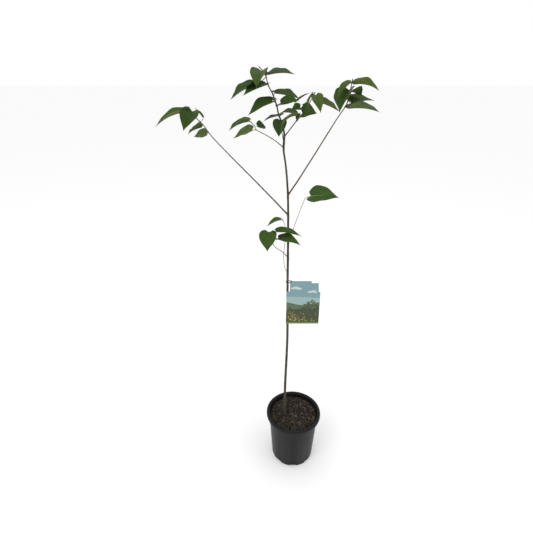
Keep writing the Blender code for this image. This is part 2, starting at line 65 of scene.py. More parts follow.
# Pot
POT_HEIGHT = 172
POT_RIM_RADIUS = 82.5
POT_TOP_RADIUS = 74.2
POT_FOOT_RADIUS = 64
POT_WALL = 1.6
POT_FLOOR = 3
LIP_DEPTH = 10
POT_SEGMENTS = 144
DRAIN_SLOTS = 8
DRAIN_SLOT_WIDTH = 20
DRAIN_SLOT_HEIGHT = 6
DRAIN_SLOT_REACH = 9
FOOT_ROUND = [(3, 0), (0.8, 1), (0, 4)]  # steps in from the foot's radius, and up
LIP_OUTER_ROUND = [(0, 3.5), (0.5, 1.8), (1.6, 0.6), (4, 0)]  # steps in from the rim's radius, and down
LIP_INNER_ROUND = [(1.2, 0.6), (-0.2, 1.6), (-0.8, 3.4)]  # steps out from the top radius, and down
LIP_GAP = 0.6  # between the wall and the underside of the lip
POT_COLOUR = (0.0075, 0.0085, 0.0078)
POT_DUST = (0.016, 0.016, 0.014)

# Potting mix
SOIL_TOP = 160
CHIP_COUNT = 1150
CHIP_LENGTHS = (4, 15)
CRUMB_LENGTHS = (3, 6)
CHIP_SHARE = 0.7  # the rest are crumbs
CHIP_WIDTHS = (0.22, 0.42)  # half the width as a share of the length
CHIP_THICKNESSES = (0.1, 0.26)  # half the thickness, likewise
CHIP_TILT = 0.7  # radians
CHIP_CORNERS = 8
CHIP_LEVELS = (-1.5, 4)  # how far below the mix's level a chip's centre lies
CHIP_CLEARANCE = 7  # from the trunk's axis
CHIP_COLOURS = [
    (0.018, 0.014, 0.010), (0.034, 0.023, 0.016), (0.052, 0.034, 0.024), (0.024, 0.022, 0.016),
    (0.075, 0.058, 0.042), (0.150, 0.140, 0.110),
]
CHIP_WEIGHTS = (3, 4, 3, 3, 1.6, 0.35)  # how often each colour comes, the last for pebbles
PEBBLE_SIZE = 0.75
SOIL_RADIUS = 71

# Trunk
TRUNK_ROUTE = [
    (-27, 0, 160.3), (-27.5, 0, 220), (-28, 0, 280), (-26, 0, 410), (-26, 0, 480), (-29, 0, 605),
    (-30.5, 2, 715), (-33, 4, 830), (-36, 4, 880), (-41, 4, 925), (-46, 4, 956), (-45.5, 4, 990),
    (-52.5, 5, 1015), (-55, 5, 1021), (-59, 6, 1032), (-62, 8, 1045), (-70, 11, 1066), (-80, 15, 1084),
    (-86, 18, 1104), (-96, 20, 1115),
]
TRUNK_TOP = 1021
TRUNK_RADIUS = 3.9
LEADER_RADIUS = 1.7
TIP_RADIUS = 0.8
FLARE = 2.2
FLARE_HEIGHT = 9
TRUNK_TAPER = 0.75  # power below 1: the trunk keeps its thickness for longer
JOINT_SWELLING = 0.35
JOINT_LENGTH = 9
ROUTE_SPACING = 2.5
TRUNK_SIDES = 28
BOUGH_SIDES = 16
BARK_RELIEF = 0.22

# Dark and light colour and roughness of each bark
BARKS = {
    "trunk_bark": ((0.042, 0.035, 0.022), (0.085, 0.078, 0.055), 0.8),
    "bough_bark": ((0.085, 0.050, 0.030), (0.17, 0.12, 0.08), 0.8),
    "green_bark": ((0.13, 0.13, 0.05), (0.2, 0.2, 0.09), 0.6),
    "pale_stalk": ((0.26, 0.25, 0.16), (0.36, 0.34, 0.24), 0.6),
}

Bough = namedtuple("Bough", "name route radius tip_radius spray_at spray")
BOUGHS = [
    Bough("left_long_bough",
          [(-32.3, 3.6, 807), (-72, 8, 848), (-116, 15, 892), (-156, 22, 931), (-192.5, 30, 967),
           (-210, 34, 986), (-222, 38, 1002), (-239, 42, 1019), (-245, 43, 1027)],
          1.8, 0.9, 0.83, "left_spray"),
    Bough("right_long_bough",
          [(-34, 4, 855), (-12.5, -3, 891), (14, -12, 939), (36, -21, 980), (58, -30, 1021), (67, -33, 1036),
           (71, -35, 1043), (76, -38, 1055), (79, -42, 1077), (80.5, -44, 1092)],
          1.8, 0.9, 0.765, "right_spray"),
    Bough("short_left_bough",
          [(-46, 4, 961), (-65, 15, 974), (-85, 28, 984), (-106, 40, 993), (-110, 44, 1001),
           (-120, 48, 1010)],
          1.15, 0.8, 0.72, "short_left_spray"),
    Bough("short_right_bough",
          [(-45.5, 4, 983), (-32, -9, 1003), (-18.5, -22, 1022.5), (-12, -25, 1028), (-6, -28, 1039),
           (1, -32, 1051), (9.5, -36, 1069)],
          1.25, 0.8, 0.42, "short_right_spray"),
]

Shoot = namedtuple("Shoot", "spray route radius tip_radius")
SHOOTS = [
    Shoot("low_left_spray",
          [(-30.5, 1.5, 698), (-47, -9, 719), (-63, -20, 735), (-68, -26, 748), (-63, -30, 762)], 0.95, 0.8),
    Shoot("low_leaf_shoot",
          [(-30, 1, 655), (-38, 2, 671), (-41, 3, 704), (-38.5, 1, 738), (-39, -3, 780), (-45, -6, 797)],
          0.8, 0.7),
    Shoot("right_leaf_shoot",
          [(-31, 2.3, 741), (-22, -9, 770), (-15.5, -20, 799), (0, -40, 857), (5, -44, 864)], 0.8, 0.7),
    Shoot("fork_leaf_shoot",
          [(-46, 4, 971), (-50, -5, 990), (-53, -11, 1008), (-54, -14, 1017)], 0.8, 0.7),
]

PALE_SHOOTS = ("low_leaf_shoot", "right_leaf_shoot")

Leaf = namedtuple("Leaf", "at stalk heading slope length width arch roll")
LEAVES = {
    "left_spray": [
        Leaf(0.06, (-2, -6, -5), 215, -6, 32, 28, 20, 55),
        Leaf(0.42, (-3, -5, -6), 230, -15, 40, 30, 25, 30),
        Leaf(0.55, (4, 12, 9), 150, 40, 29, 12, 15, 10),
        Leaf(0.96, (-1, -6, 6), 241, -46, 52, 44, 40, -25),
        Leaf(1.00, (-11, 2, 3), 203, -21, 80, 38, 40, -5),
    ],
    "right_spray": [
        Leaf(0.26, (7, -4, -3), 8, -7, 66, 46, 25, -5),
        Leaf(0.45, (9, 3, -4), 30, 2, 60, 46, 15, 14),
        Leaf(0.72, (3, 3, -1), 40, -14, 36, 34, 25, -15),
        Leaf(0.74, (-4, -6, 1), 233, -50, 50, 46, 30, 10),
        Leaf(1.00, (4, -2, -5), 336, -13, 51, 40, 45, 8),
        Leaf(0.98, (-2, -3, -1), 223, -32, 50, 20, 45, -5),
    ],
    "short_left_spray": [
        Leaf(0.12, (-10, -3, 0), 215, -16, 52, 32, 15, 50),
        Leaf(0.90, (14, 10, -10), 45, -10, 28, 26, 15, 45),
        Leaf(1.00, (-4, -3, 0), 208, -20, 51, 38, 32, 12),
    ],
    "top_spray": [
        Leaf(0.05, (4, -4, 1), 217, -11, 48, 22, 20, 10),
        Leaf(0.24, (8, -5, 5), 316, 8, 50, 32, 12, 40),
        Leaf(0.25, (-9, -4, 8), 215, -22, 66, 42, 10, -12),
        Leaf(0.35, (-3, 6, 0), 150, -18, 42, 34, 15, 10),
        Leaf(0.43, (4, 5, 5), 24, -12, 60, 40, 12, -10),
        Leaf(0.66, (-4, -6, 0), 220, -17, 64, 42, 8, -5),
        Leaf(0.80, (-22, -6, -13), 208, -26, 64, 44, 20, -2),
        Leaf(0.84, (7, 0, 1), 340, 0, 56, 40, 25, 10),
        Leaf(0.84, (0, 3, 0), 86, 60, 12, 9, 10, 0),
        Leaf(0.95, (-1, -6, -2), 256, -36, 52, 42, 40, 3),
    ],
    "short_right_spray": [
        Leaf(0.04, (1, 3, 3), 57, 40, 18, 9, 20, 0),
        Leaf(0.05, (-1, -1, 12), 158, 2, 36, 26, 25, 20),
        Leaf(0.07, (-4, 0, 34), 349, 31, 34, 12, 20, 0),
        Leaf(0.10, (-6, -20, 9), 200, -46, 49, 26, 90, 20),
        Leaf(0.26, (1, -4, 5), 325, 3, 34, 40, 25, 50),
        Leaf(0.44, (-9, 3, 6), 215, -8, 25, 20, 20, -45),
        Leaf(0.50, (4, 9, -3), 110, 20, 30, 16, 20, 40),
        Leaf(0.92, (6, 3, -7), 15, -22, 60, 34, 12, -5),
        Leaf(0.97, (4, -4, 0), 291, -51, 42, 24, 65, 20),
        Leaf(0.99, (-3, -3, 1), 244, -52, 32, 14, 40, 50),
    ],
    "low_left_spray": [
        Leaf(0.90, (-11, 3, 20), 262, -50, 48, 44, 40, 5),
        Leaf(0.97, (3, 3, 17), 344, -5, 62, 32, 25, 5),
        Leaf(1.00, (7, -3, 0), 328, -3, 60, 38, 30, 10),
    ],
    "low_leaf_shoot": [Leaf(1.00, (-4, -1, 2), 212, -13, 41, 22, 35, 0)],
    "right_leaf_shoot": [Leaf(1.00, (8, -1, 3), 335, 4, 64, 46, 30, 38)],
    "fork_leaf_shoot": [Leaf(1.00, (0, 0, 1), 258, -58, 37, 31, 45, 0)],
}

# Colours of the leaves' upper face and underside, one pair to a spray
SPRAY_COLOURS = {
    "left_spray": ((0.029, 0.061, 0.012), (0.068, 0.106, 0.030)),
    "right_spray": ((0.035, 0.067, 0.012), (0.068, 0.102, 0.026)),
    "short_left_spray": ((0.030, 0.060, 0.013), (0.079, 0.120, 0.040)),
    "top_spray": ((0.033, 0.066, 0.014), (0.059, 0.090, 0.030)),
    "short_right_spray": ((0.036, 0.068, 0.015), (0.065, 0.098, 0.029)),
    "low_left_spray": ((0.036, 0.077, 0.014), (0.068, 0.112, 0.035)),
    "low_leaf_shoot": ((0.049, 0.100, 0.020), (0.068, 0.112, 0.035)),
    "right_leaf_shoot": ((0.036, 0.078, 0.014), (0.065, 0.108, 0.032)),
    "fork_leaf_shoot": ((0.024, 0.051, 0.012), (0.058, 0.090, 0.029)),
}
YOUNG_LEAVES = {"top_spray": (9,), "short_right_spray": (2, 8, 9), "right_spray": (4, 5), "left_spray": (4,)}

# Leaf faces
YOUNG_TINT = (1.6, 1.35, 1.2)
UPPER_VEIN_TONE = 1.35
UNDER_VEIN_TONE = 1.3
UPPER_ROUGHNESS = 0.42
UNDER_ROUGHNESS = 0.6

# Blade
BLADE_ROWS = 56
BLADE_COLUMNS = 28
BLADE_THICKNESS = 0.35
BLADE_BACK_SWEEP = 0.09
BLADE_TIP_HALF_WIDTH = 0.25
FOLD_RANGE = (20, 32)
USUAL_LENGTH = 60  # a longer leaf has more teeth and deeper panels
TEETH = 17  # teeth along one margin
TOOTH_DEPTH = 0.026  # as a share of the blade's width
TOOTH_POINT = 0.35  # where along a tooth its notch lies
WAVE_HEIGHT = 0.055  # as a share of half the width
WAVE_TURNS = (1.5, 2.6)
SIDE_VEINS = 6
VEIN_CLOSENESS = 1.15  # over an even spread along the blade
VEIN_SWEEP = 0.34  # how far a side vein runs forward on its way out, as a share of the length
VEIN_WIDTH = 0.09
VEIN_TONE = 0.75
VEIN_DEPTH = 0.5

# Stems, stalks and buds
STEM_SPACING = 2
STEM_SIDES = 12
STEM_RELIEF = 0.12
LEAF_SWELLING = 0.35
LEAF_SWELLING_LENGTH = 2
STALK_RADIUS = 0.75
STALK_TAPER = (1.1, 0.45)
STALK_SPACING = 1.5
STALK_SIDES = 8
STALK_SINK = 0.5
STALK_DROP = 0.25  # how far under the midrib the stalk runs on
BUD_LENGTH = 5
BUD_SECTION = [(-0.2, 0.7), (0, 0.9), (0.2, 1.15), (0.45, 1.2), (0.7, 0.85), (0.88, 0.5), (1, 0.12)]
BUD_SIDES = 10
COLLAR = 0.35
COLLAR_LENGTH = 6

# Label
CARD_OUTLINE = [
    (-31.5, 502), (56.5, 502), (56, 600.5), (52, 600.5), (50, 627), (32, 627), (32, 633), (-23, 633),
    (-23, 602), (-31, 602),
]
CARD_BACK = -3.5
CARD_THICKNESS = 0.6
HOLE_RADIUS = 2.1
HOLE_OFFSET = (3.45, -0.5)  # from the strap's right end and level
LABEL_COLOURS = {
    "sky": (0.16, 0.28, 0.31), "haze": (0.26, 0.38, 0.37), "cloud": (0.45, 0.52, 0.50),
    "far_hill": (0.075, 0.115, 0.055), "field": (0.032, 0.044, 0.013), "edge": (0.105, 0.19, 0.02),
    "shrub_dark": (0.018, 0.028, 0.012), "shrub_mid": (0.045, 0.065, 0.025),
    "shrub_light": (0.10, 0.125, 0.05), "flower": (0.42, 0.33, 0.05), "flower_dark": (0.20, 0.12, 0.03),
}
PRINT_LEFT = -31.3
PRINT_RIGHT = 56.2
PRINT_FOOT = 502.2
EDGE_TOP = 507.5
CLOUDS = [(-14, 612, 15), (-7, 615, 13), (0, 611, 16), (30, 601, 14), (38, 604, 13), (43, 600, 11)]
SHRUBS = [(-22, 8), (-15, 6), (16, 15), (26, 21), (37, 25), (46, 17), (51, 10)]  # place and height
SHRUB_FOOT = 545
SHRUB_LIMIT = 53.2
TUFTS_PER_HEIGHT = 2.4
TUFT_SIZES = (2.4, 5)
FLOWERS = 70
FLOWERS_AT_LEFT = 55
MEADOW_FOOT = 512
MEADOW_DEPTH = 30
STRAP_COLOUR = (0.014, 0.014, 0.014)
STRAP_DUST = (0.03, 0.03, 0.028)
STRAP_HEIGHT = 2
STRAP_THICKNESS = 0.9
STRAP_INNER_RADIUS = 4.6
STRAP_LEVEL = 629
STRAP_LEFT = -28.6
STRAP_RIGHT = -21
STRAP_MIDDLE = -0.2
STRAP_END_POINTS = 29  # round each end of the loop
STRAP_SECTION_POINTS = 16
STRAP_SQUARENESS = 0.4  # power below 1 that squares the strap's round section


def new_object(name, points, faces, materials, indices=None):
    """A mesh object from points in millimetres."""
    mesh = bpy.data.meshes.new(name)
    mesh.from_pydata([tuple(point) for point in np.array(points, float) * MM], [], faces)
    for material in materials:
        mesh.materials.append(material)
    if indices is not None:
        mesh.polygons.foreach_set("material_index", indices)
    mesh.shade_smooth()
    mesh.set_sharp_from_angle(angle=math.radians(SMOOTH_ANGLE))
    obj = bpy.data.objects.new(name, mesh)
    bpy.context.scene.collection.objects.link(obj)
    return obj


class Shape:
    """Points and faces gathered from many small pieces into one mesh."""

    def __init__(self):
        self.points = []
        self.faces = []
        self.indices = []
        self.values = []

    def add(self, points, faces, index=0, values=None):
        """Adds a piece, with its faces' material index and one value a point."""
        start = len(self.points)
        self.points.extend(points)
        self.faces.extend([[start + k for k in face] for face in faces])
        self.indices.extend(index if isinstance(index, list) else [index] * len(faces))
        self.values.extend(values if values is not None else [(0, 0, 0)] * len(points))

    def build(self, name, materials):
        """The gathered mesh as one object, whose values become the attribute "leaf"."""
        obj = new_object(name, self.points, self.faces, materials, self.indices)
        attribute = obj.data.attributes.new("leaf", "FLOAT_VECTOR", "POINT")
        attribute.data.foreach_set("vector", np.array(self.values, "f").ravel())
        return obj


def unit(vector):
    """The vector at length 1."""
    return vector / np.linalg.norm(vector)


def smooth_route(points, spacing):
    """Evenly spaced points along a Catmull-Rom curve through the given points."""
    knots = np.array(points, float)
    ends = np.vstack([2 * knots[0] - knots[1], knots, 2 * knots[-1] - knots[-2]])
    fine = []
    for a, b, c, d in zip(ends, ends[1:], ends[2:], ends[3:]):
        for t in np.linspace(0, 1, 24, endpoint=False):
            fine.append(0.5 * (2 * b + (c - a) * t + (2 * a - 5 * b + 4 * c - d) * t**2
                               + (3 * b - a - 3 * c + d) * t**3))
    fine.append(knots[-1])
    fine = np.array(fine)
    steps = np.linalg.norm(np.diff(fine, axis=0), axis=1)
    along = np.concatenate([[0], np.cumsum(steps)])
    count = max(2, int(round(along[-1] / spacing)) + 1)
    at = np.linspace(0, along[-1], count)
    return np.stack([np.interp(at, along, fine[:, k]) for k in range(3)], axis=1)


def route_lengths(route):
    """The distance along the route to each of its points."""
    return np.concatenate([[0], np.cumsum(np.linalg.norm(np.diff(route, axis=0), axis=1))])


def point_at(route, share):
    """The point at a share (0 to 1) of the route's length."""
    along = route_lengths(route)
    return np.array([np.interp(share * along[-1], along, route[:, k]) for k in range(3)])


def split_route(route, share):
    """The route up to that share of its length, and the rest."""
    along = route_lengths(route)
    cut = share * along[-1]
    middle = point_at(route, share)
    return np.vstack([route[along < cut - 0.5], middle]), np.vstack([middle, route[along > cut + 0.5]])


def ring_directions(route):
    """Two unit vectors across the route at each point, turned as little as possible on the way."""
    across = np.array([1.0, 0, 0])
    pairs = []
    for tangent in np.gradient(route, axis=0):
        tangent = unit(tangent)
        across = unit(across - tangent * np.dot(across, tangent))
        pairs.append((across, np.cross(tangent, across)))
    return pairs


def tube(route, radii, sides, relief=0, seed=0):
    """Points and faces of a closed round limb, with bark relief of that height in its skin."""
    points = []
    for centre, radius, (across, over) in zip(route, radii, ring_directions(route)):
        for k in range(sides):
            turn = 2 * math.pi * k / sides
            side = math.cos(turn) * across + math.sin(turn) * over
            bump = 0
            if relief:
                spot = centre + side * radius
                coarse = noise.noise(Vector((spot[0] * 0.5, spot[1] * 0.5, spot[2] * 0.09 + seed)))
                fine = noise.noise(Vector((spot[0] * 1.6, spot[1] * 1.6, spot[2] * 0.5 + seed)))
                bump = relief * (coarse + 0.5 * fine)
            points.append(centre + side * (radius + bump))
    faces = [list(range(sides))[::-1]]
    for ring in range(len(route) - 1):
        for k in range(sides):
            a = ring * sides + k
            b = ring * sides + (k + 1) % sides
            faces.append([a, b, b + sides, a + sides])
    last = (len(route) - 1) * sides
    faces.append(list(range(last, last + sides)))
    return points, faces


def material_nodes(name, colour, roughness, specular=0.5):
    """A Principled material with its node tree's nodes and links."""
    material = bpy.data.materials.new(name)
    material.use_nodes = True
    tree = material.node_tree
    shader = tree.nodes["Principled BSDF"]
    shader.inputs["Base Color"].default_value = (*colour, 1)
    shader.inputs["Roughness"].default_value = roughness
    shader.inputs["Specular IOR Level"].default_value = specular
    return material, tree, shader


def noise_node(tree, scale, detail=4, stretch=None):
    """A noise texture in object coordinates, stretched where asked."""
    place = tree.nodes.new("ShaderNodeTexCoord")
    texture = tree.nodes.new("ShaderNodeTexNoise")
    texture.inputs["Scale"].default_value = scale
    texture.inputs["Detail"].default_value = detail
    if stretch:
        mapping = tree.nodes.new("ShaderNodeMapping")
        mapping.inputs["Scale"].default_value = stretch
        tree.links.new(place.outputs["Object"], mapping.inputs["Vector"])
        tree.links.new(mapping.outputs["Vector"], texture.inputs["Vector"])
    else:
        tree.links.new(place.outputs["Object"], texture.inputs["Vector"])
    return texture


def ramp_node(tree, source, stops):
    """A colour ramp over a value, from (place, colour) stops."""
    ramp = tree.nodes.new("ShaderNodeValToRGB")
    elements = ramp.color_ramp.elements
    while len(elements) < len(stops):
        elements.new(0.5)
    for element, (place, colour) in zip(elements, stops):
        element.position = place
        element.color = (*colour, 1)
    tree.links.new(source, ramp.inputs["Fac"])
    return ramp


def mix_node(tree, factor, first, second, kind="MIX"):
    """A colour mix; each of the three may be a socket or a value."""
    mix = tree.nodes.new("ShaderNodeMix")
    mix.data_type = "RGBA"
    mix.blend_type = kind
    sockets = [mix.inputs[0], mix.inputs[6], mix.inputs[7]]
    for socket, value in zip(sockets, (factor, first, second)):
        if isinstance(value, bpy.types.NodeSocket):
            tree.links.new(value, socket)
        elif isinstance(value, tuple):
            socket.default_value = (*value, 1)
        else:
            socket.default_value = value
    return mix.outputs[2]


def bump_node(tree, shader, height, strength, distance):
    """A bump from a height socket into the shader's normal."""
    bump = tree.nodes.new("ShaderNodeBump")
    bump.inputs["Strength"].default_value = strength
    bump.inputs["Distance"].default_value = distance
    tree.links.new(height, bump.inputs["Height"])
    tree.links.new(bump.outputs["Normal"], shader.inputs["Normal"])


def scaled(colour, factor):
    """A colour made darker or lighter."""
    return tuple(min(1, c * factor) for c in colour)


def leaf_material(name, colour, vein_colour, roughness):
    """A leaf's face: blotches between the veins, paler veins, and a yellower tone on young leaves."""
    material, tree, shader = material_nodes(name, colour, roughness, 0.08)
    values = tree.nodes.new("ShaderNodeAttribute")
    values.attribute_name = "leaf"
    parts = tree.nodes.new("ShaderNodeSeparateXYZ")
    tree.links.new(values.outputs["Vector"], parts.inputs["Vector"])
    blotches = noise_node(tree, 90)
    tone = ramp_node(tree, blotches.outputs["Fac"],
                     [(0.3, scaled(colour, 0.82)), (0.55, colour), (0.75, scaled(colour, 1.2))])
    young = tuple(channel * tint for channel, tint in zip(colour, YOUNG_TINT))
    aged = mix_node(tree, parts.outputs["Y"], tone.outputs["Color"], young)
    veined = mix_node(tree, parts.outputs["X"], aged, vein_colour)
    tree.links.new(veined, shader.inputs["Base Color"])
    grain = noise_node(tree, 900, 3)
    bump_node(tree, shader, grain.outputs["Fac"], 0.25, 0.0003)
    shader.inputs["Subsurface Weight"].default_value = 0.05
    shader.inputs["Subsurface Radius"].default_value = (0.001, 0.002, 0.0005)
    return material


def bark_material(name, dark, light, roughness):
    """Young bark: long streaks, and small pale lenticels."""
    material, tree, shader = material_nodes(name, dark, roughness, 0.3)
    streaks = noise_node(tree, 60, 6, (4, 4, 0.8))
    tone = ramp_node(tree, streaks.outputs["Fac"], [(0.3, scaled(dark, 0.7)), (0.5, dark), (0.72, light)])
    cells = tree.nodes.new("ShaderNodeTexVoronoi")
    cells.inputs["Scale"].default_value = 260
    place = tree.nodes.new("ShaderNodeTexCoord")
    tree.links.new(place.outputs["Object"], cells.inputs["Vector"])
    spots = ramp_node(tree, cells.outputs["Distance"], [(0.12, (1, 1, 1)), (0.22, (0, 0, 0))])
    spotted = mix_node(tree, spots.outputs["Color"], tone.outputs["Color"], scaled(light, 1.35))
    tree.links.new(spotted, shader.inputs["Base Color"])
    bump_node(tree, shader, streaks.outputs["Fac"], 0.6, 0.0006)
    return material


def blade_half_width(share, width):
    """Half the blade's width at a share of its length: a rounded base, then a taper to the tip."""
    swell = math.sin(math.pi * (0.03 + 0.97 * min(share, 0.9999)) ** 0.6)
    return max(BLADE_TIP_HALF_WIDTH, width / 2 * swell ** (0.8 + 0.6 * share))


def blade_axes(leaf):
    """The blade's chord, left side and upper normal as unit vectors."""
    heading = math.radians(leaf.heading)
    slope = math.radians(leaf.slope)
    roll = math.radians(leaf.roll)
    flat = math.cos(slope)
    chord = np.array([math.cos(heading) * flat, math.sin(heading) * flat, math.sin(slope)])
    right = np.array([math.sin(heading), -math.cos(heading), 0])
    normal = np.cross(right, chord)
    rolled = normal * math.cos(roll) + right * math.sin(roll)
    return chord, np.cross(rolled, chord), rolled


def rib_point(leaf, share):
    """The midrib's place along the chord and above it, and its slope, at a share of its length."""
    arch = math.radians(leaf.arch)
    radius = leaf.length / arch
    angle = arch * (0.5 - share)
    along = radius * (math.sin(arch / 2) - math.sin(angle))
    above = radius * (math.cos(angle) - math.cos(arch / 2))
    return along, above, angle


def vein_strength(share, side):
    """How much of a vein lies at a place on the blade: 1 on the midrib or a side vein, 0 between."""
    rib = math.exp(-((side / (0.035 + 0.03 * (1 - share))) ** 2))
    start = share - VEIN_SWEEP * abs(side) ** 1.25 + 0.04
    if not -0.05 < start < 0.86:
        return rib
    phase = start * SIDE_VEINS * VEIN_CLOSENESS
    off = abs(phase - round(phase))
    return max(rib, VEIN_TONE * math.exp(-((off / VEIN_WIDTH) ** 2)) * (1 - abs(side) ** 3))


def make_blade(shape, leaf, base, fold, young, rng):
    """Adds one blade: a thin closed solid with teeth, raised panels between veins and a wavy margin."""
    chord, left, normal = blade_axes(leaf)
    size = leaf.length / USUAL_LENGTH
    wave_turns = rng.uniform(*WAVE_TURNS)
    wave_start = rng.uniform(0, 6)
    upper, lower, values = [], [], []
    for row in range(BLADE_ROWS + 1):
        share = row / BLADE_ROWS
        half = blade_half_width(share, leaf.width)
        tooth_phase = (share * TEETH * (0.6 + 0.4 * size)) % 1
        tooth = abs(tooth_phase - TOOTH_POINT) * TOOTH_DEPTH * leaf.width
        tooth *= math.sin(math.pi * min(1, share * 1.05)) ** 0.5 if share < 0.95 else 0
        for column in range(BLADE_COLUMNS + 1):
            spread = 2 * column / BLADE_COLUMNS - 1
            side = math.copysign(abs(spread) ** 0.85, spread)
            back = BLADE_BACK_SWEEP * abs(side) * (1 - share) ** 3
            along, above, angle = rib_point(leaf, share - back)
            up = chord * -math.sin(angle) + normal * math.cos(angle)
            reach = abs(side) * (half + tooth * abs(side) ** 6)
            vein = vein_strength(share, side)
            quilt = VEIN_DEPTH * size * (0.5 - vein) * (1 - abs(side) ** 4) * min(1, 6 * (1 - share))
            wave_phase = wave_turns * 2 * math.pi * share + wave_start + 2.2 * side
            wave = WAVE_HEIGHT * half * side**2 * math.sin(wave_phase)
            lift = reach * math.sin(fold) + quilt + wave
            spot = base + chord * along + normal * above + up * lift
            spot = spot + left * math.copysign(reach, side) * math.cos(fold)
            upper.append(spot + up * BLADE_THICKNESS / 2)
            lower.append(spot - up * BLADE_THICKNESS / 2)
            values.append((vein, young, abs(side)))
    across = BLADE_COLUMNS + 1
    below = len(upper)
    top_faces, low_faces, rim_faces = [], [], []
    for row in range(BLADE_ROWS):
        for k in range(BLADE_COLUMNS):
            a = row * across + k
            top_faces.append([a, a + across, a + 1 + across, a + 1])
            low_faces.append([below + a, below + a + 1, below + a + 1 + across, below + a + across])
    rim = [row * across for row in range(BLADE_ROWS + 1)]
    rim += [BLADE_ROWS * across + k for k in range(1, across)]
    rim += [row * across + across - 1 for row in range(BLADE_ROWS - 1, -1, -1)]
    rim += [k for k in range(across - 2, 0, -1)]
    for a, b in zip(rim, rim[1:] + rim[:1]):
        rim_faces.append([b, a, below + a, below + b])
    indices = [0] * len(top_faces) + [1] * (len(low_faces) + len(rim_faces))
    shape.add(upper + lower, top_faces + low_faces + rim_faces, indices, values + values)


def stalk_route(node, base, leaf):
    """The stalk's path: out of the stem, into line with the blade and on under its midrib."""
    chord, _, normal = blade_axes(leaf)
    half_arch = math.radians(leaf.arch) / 2
    start = unit(chord * math.cos(half_arch) + normal * math.sin(half_arch))
    bend = base - start * np.linalg.norm(base - node) * 0.4
    path = [node * (1 - t) ** 2 + bend * 2 * t * (1 - t) + base * t**2 for t in np.linspace(0, 1, 9)]
    for share in np.linspace(0, STALK_SINK, 9)[1:]:
        along, above, _ = rib_point(leaf, share)
        path.append(base + chord * along + normal * (above - STALK_DROP))
    return np.array(path)


def limb_radii(route, radius, tip_radius, from_trunk):
    """An even taper, with a collar where the limb leaves the trunk."""
    along = route_lengths(route)
    radii = radius + (tip_radius - radius) * along / along[-1]
    if from_trunk:
        radii = radii * (1 + COLLAR * np.exp(-np.maximum(0, along - 2) / COLLAR_LENGTH))
    return radii


def add_node_swellings(route, radii, leaves):
    """Thickens a stem a little where each leaf leaves it."""
    along = route_lengths(route)
    for leaf in leaves:
        off = (along - leaf.at * along[-1]) / LEAF_SWELLING_LENGTH
        radii = radii * (1 + LEAF_SWELLING * np.exp(-(off**2)))
    return radii


def make_spray(name, stem_route, radius, tip_radius, from_trunk, stalk_material):
    """A spray's leaves as one piece and its twigs, stalks and buds as another."""
    rng = random.Random(name)
    stem = smooth_route(stem_route, STEM_SPACING)
    radii = add_node_swellings(stem, limb_radii(stem, radius, tip_radius, from_trunk), LEAVES[name])
    twigs = Shape()
    twigs.add(*tube(stem, radii, STEM_SIDES, STEM_RELIEF, len(name)))
    tip = unit(stem[-1] - stem[-2])
    bud = np.array([stem[-1] + tip * BUD_LENGTH * share for share, _ in BUD_SECTION])
    twigs.add(*tube(bud, [bud_radius for _, bud_radius in BUD_SECTION], BUD_SIDES))
    blades = Shape()
    shape_rng = random.Random(name + " shape")
    for number, leaf in enumerate(LEAVES[name]):
        fold = math.radians(rng.uniform(*FOLD_RANGE))
        node = point_at(stem_route, leaf.at)
        base = node + np.array(leaf.stalk, float)
        young = 1 if number in YOUNG_LEAVES.get(name, ()) else 0.25 * shape_rng.random()
        make_blade(blades, leaf, base, fold, young, shape_rng)
        path = smooth_route(stalk_route(node, base, leaf), STALK_SPACING)
        thick = STALK_RADIUS * min(1, 0.55 + leaf.length / 110)
        twigs.add(*tube(path, np.linspace(*STALK_TAPER, len(path)) * thick, STALK_SIDES))
    colour, under = SPRAY_COLOURS[name]
    upper = leaf_material(name + "_upper", colour, scaled(colour, UPPER_VEIN_TONE), UPPER_ROUGHNESS)
    lower = leaf_material(name + "_under", under, scaled(under, UNDER_VEIN_TONE), UNDER_ROUGHNESS)
    leaves = blades.build(name + "_leaves", [upper, lower])
    stems = twigs.build(name + "_twigs", [stalk_material])
    for piece in (leaves, stems):
        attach(piece, "root")
        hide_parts(name)


def trunk_radii(route):
    """The trunk's taper, with its root flare and a swelling where each bough and shoot leaves it."""
    foot = TRUNK_ROUTE[0][2]
    joints = [bough.route[0][2] for bough in BOUGHS] + [shoot.route[0][2] for shoot in SHOOTS]
    radii = []
    for point in route:
        height = point[2] - foot
        share = min(1, height / (TRUNK_TOP - foot))
        radius = LEADER_RADIUS + (TRUNK_RADIUS - LEADER_RADIUS) * (1 - share) ** TRUNK_TAPER
        radius += FLARE * math.exp(-height / FLARE_HEIGHT)
        radius += JOINT_SWELLING * sum(math.exp(-(((point[2] - at) / JOINT_LENGTH) ** 2)) for at in joints)
        radii.append(radius)
    return np.array(radii)


def make_limb(name, route, radii, sides, material):
    """A limb with bark relief that stands for its CAD node."""
    limb = Shape()
    limb.add(*tube(route, radii, sides, BARK_RELIEF, len(name)))
    piece = limb.build(name + "_bark", [material])
    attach(piece, "root")
    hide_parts(name)
    return piece


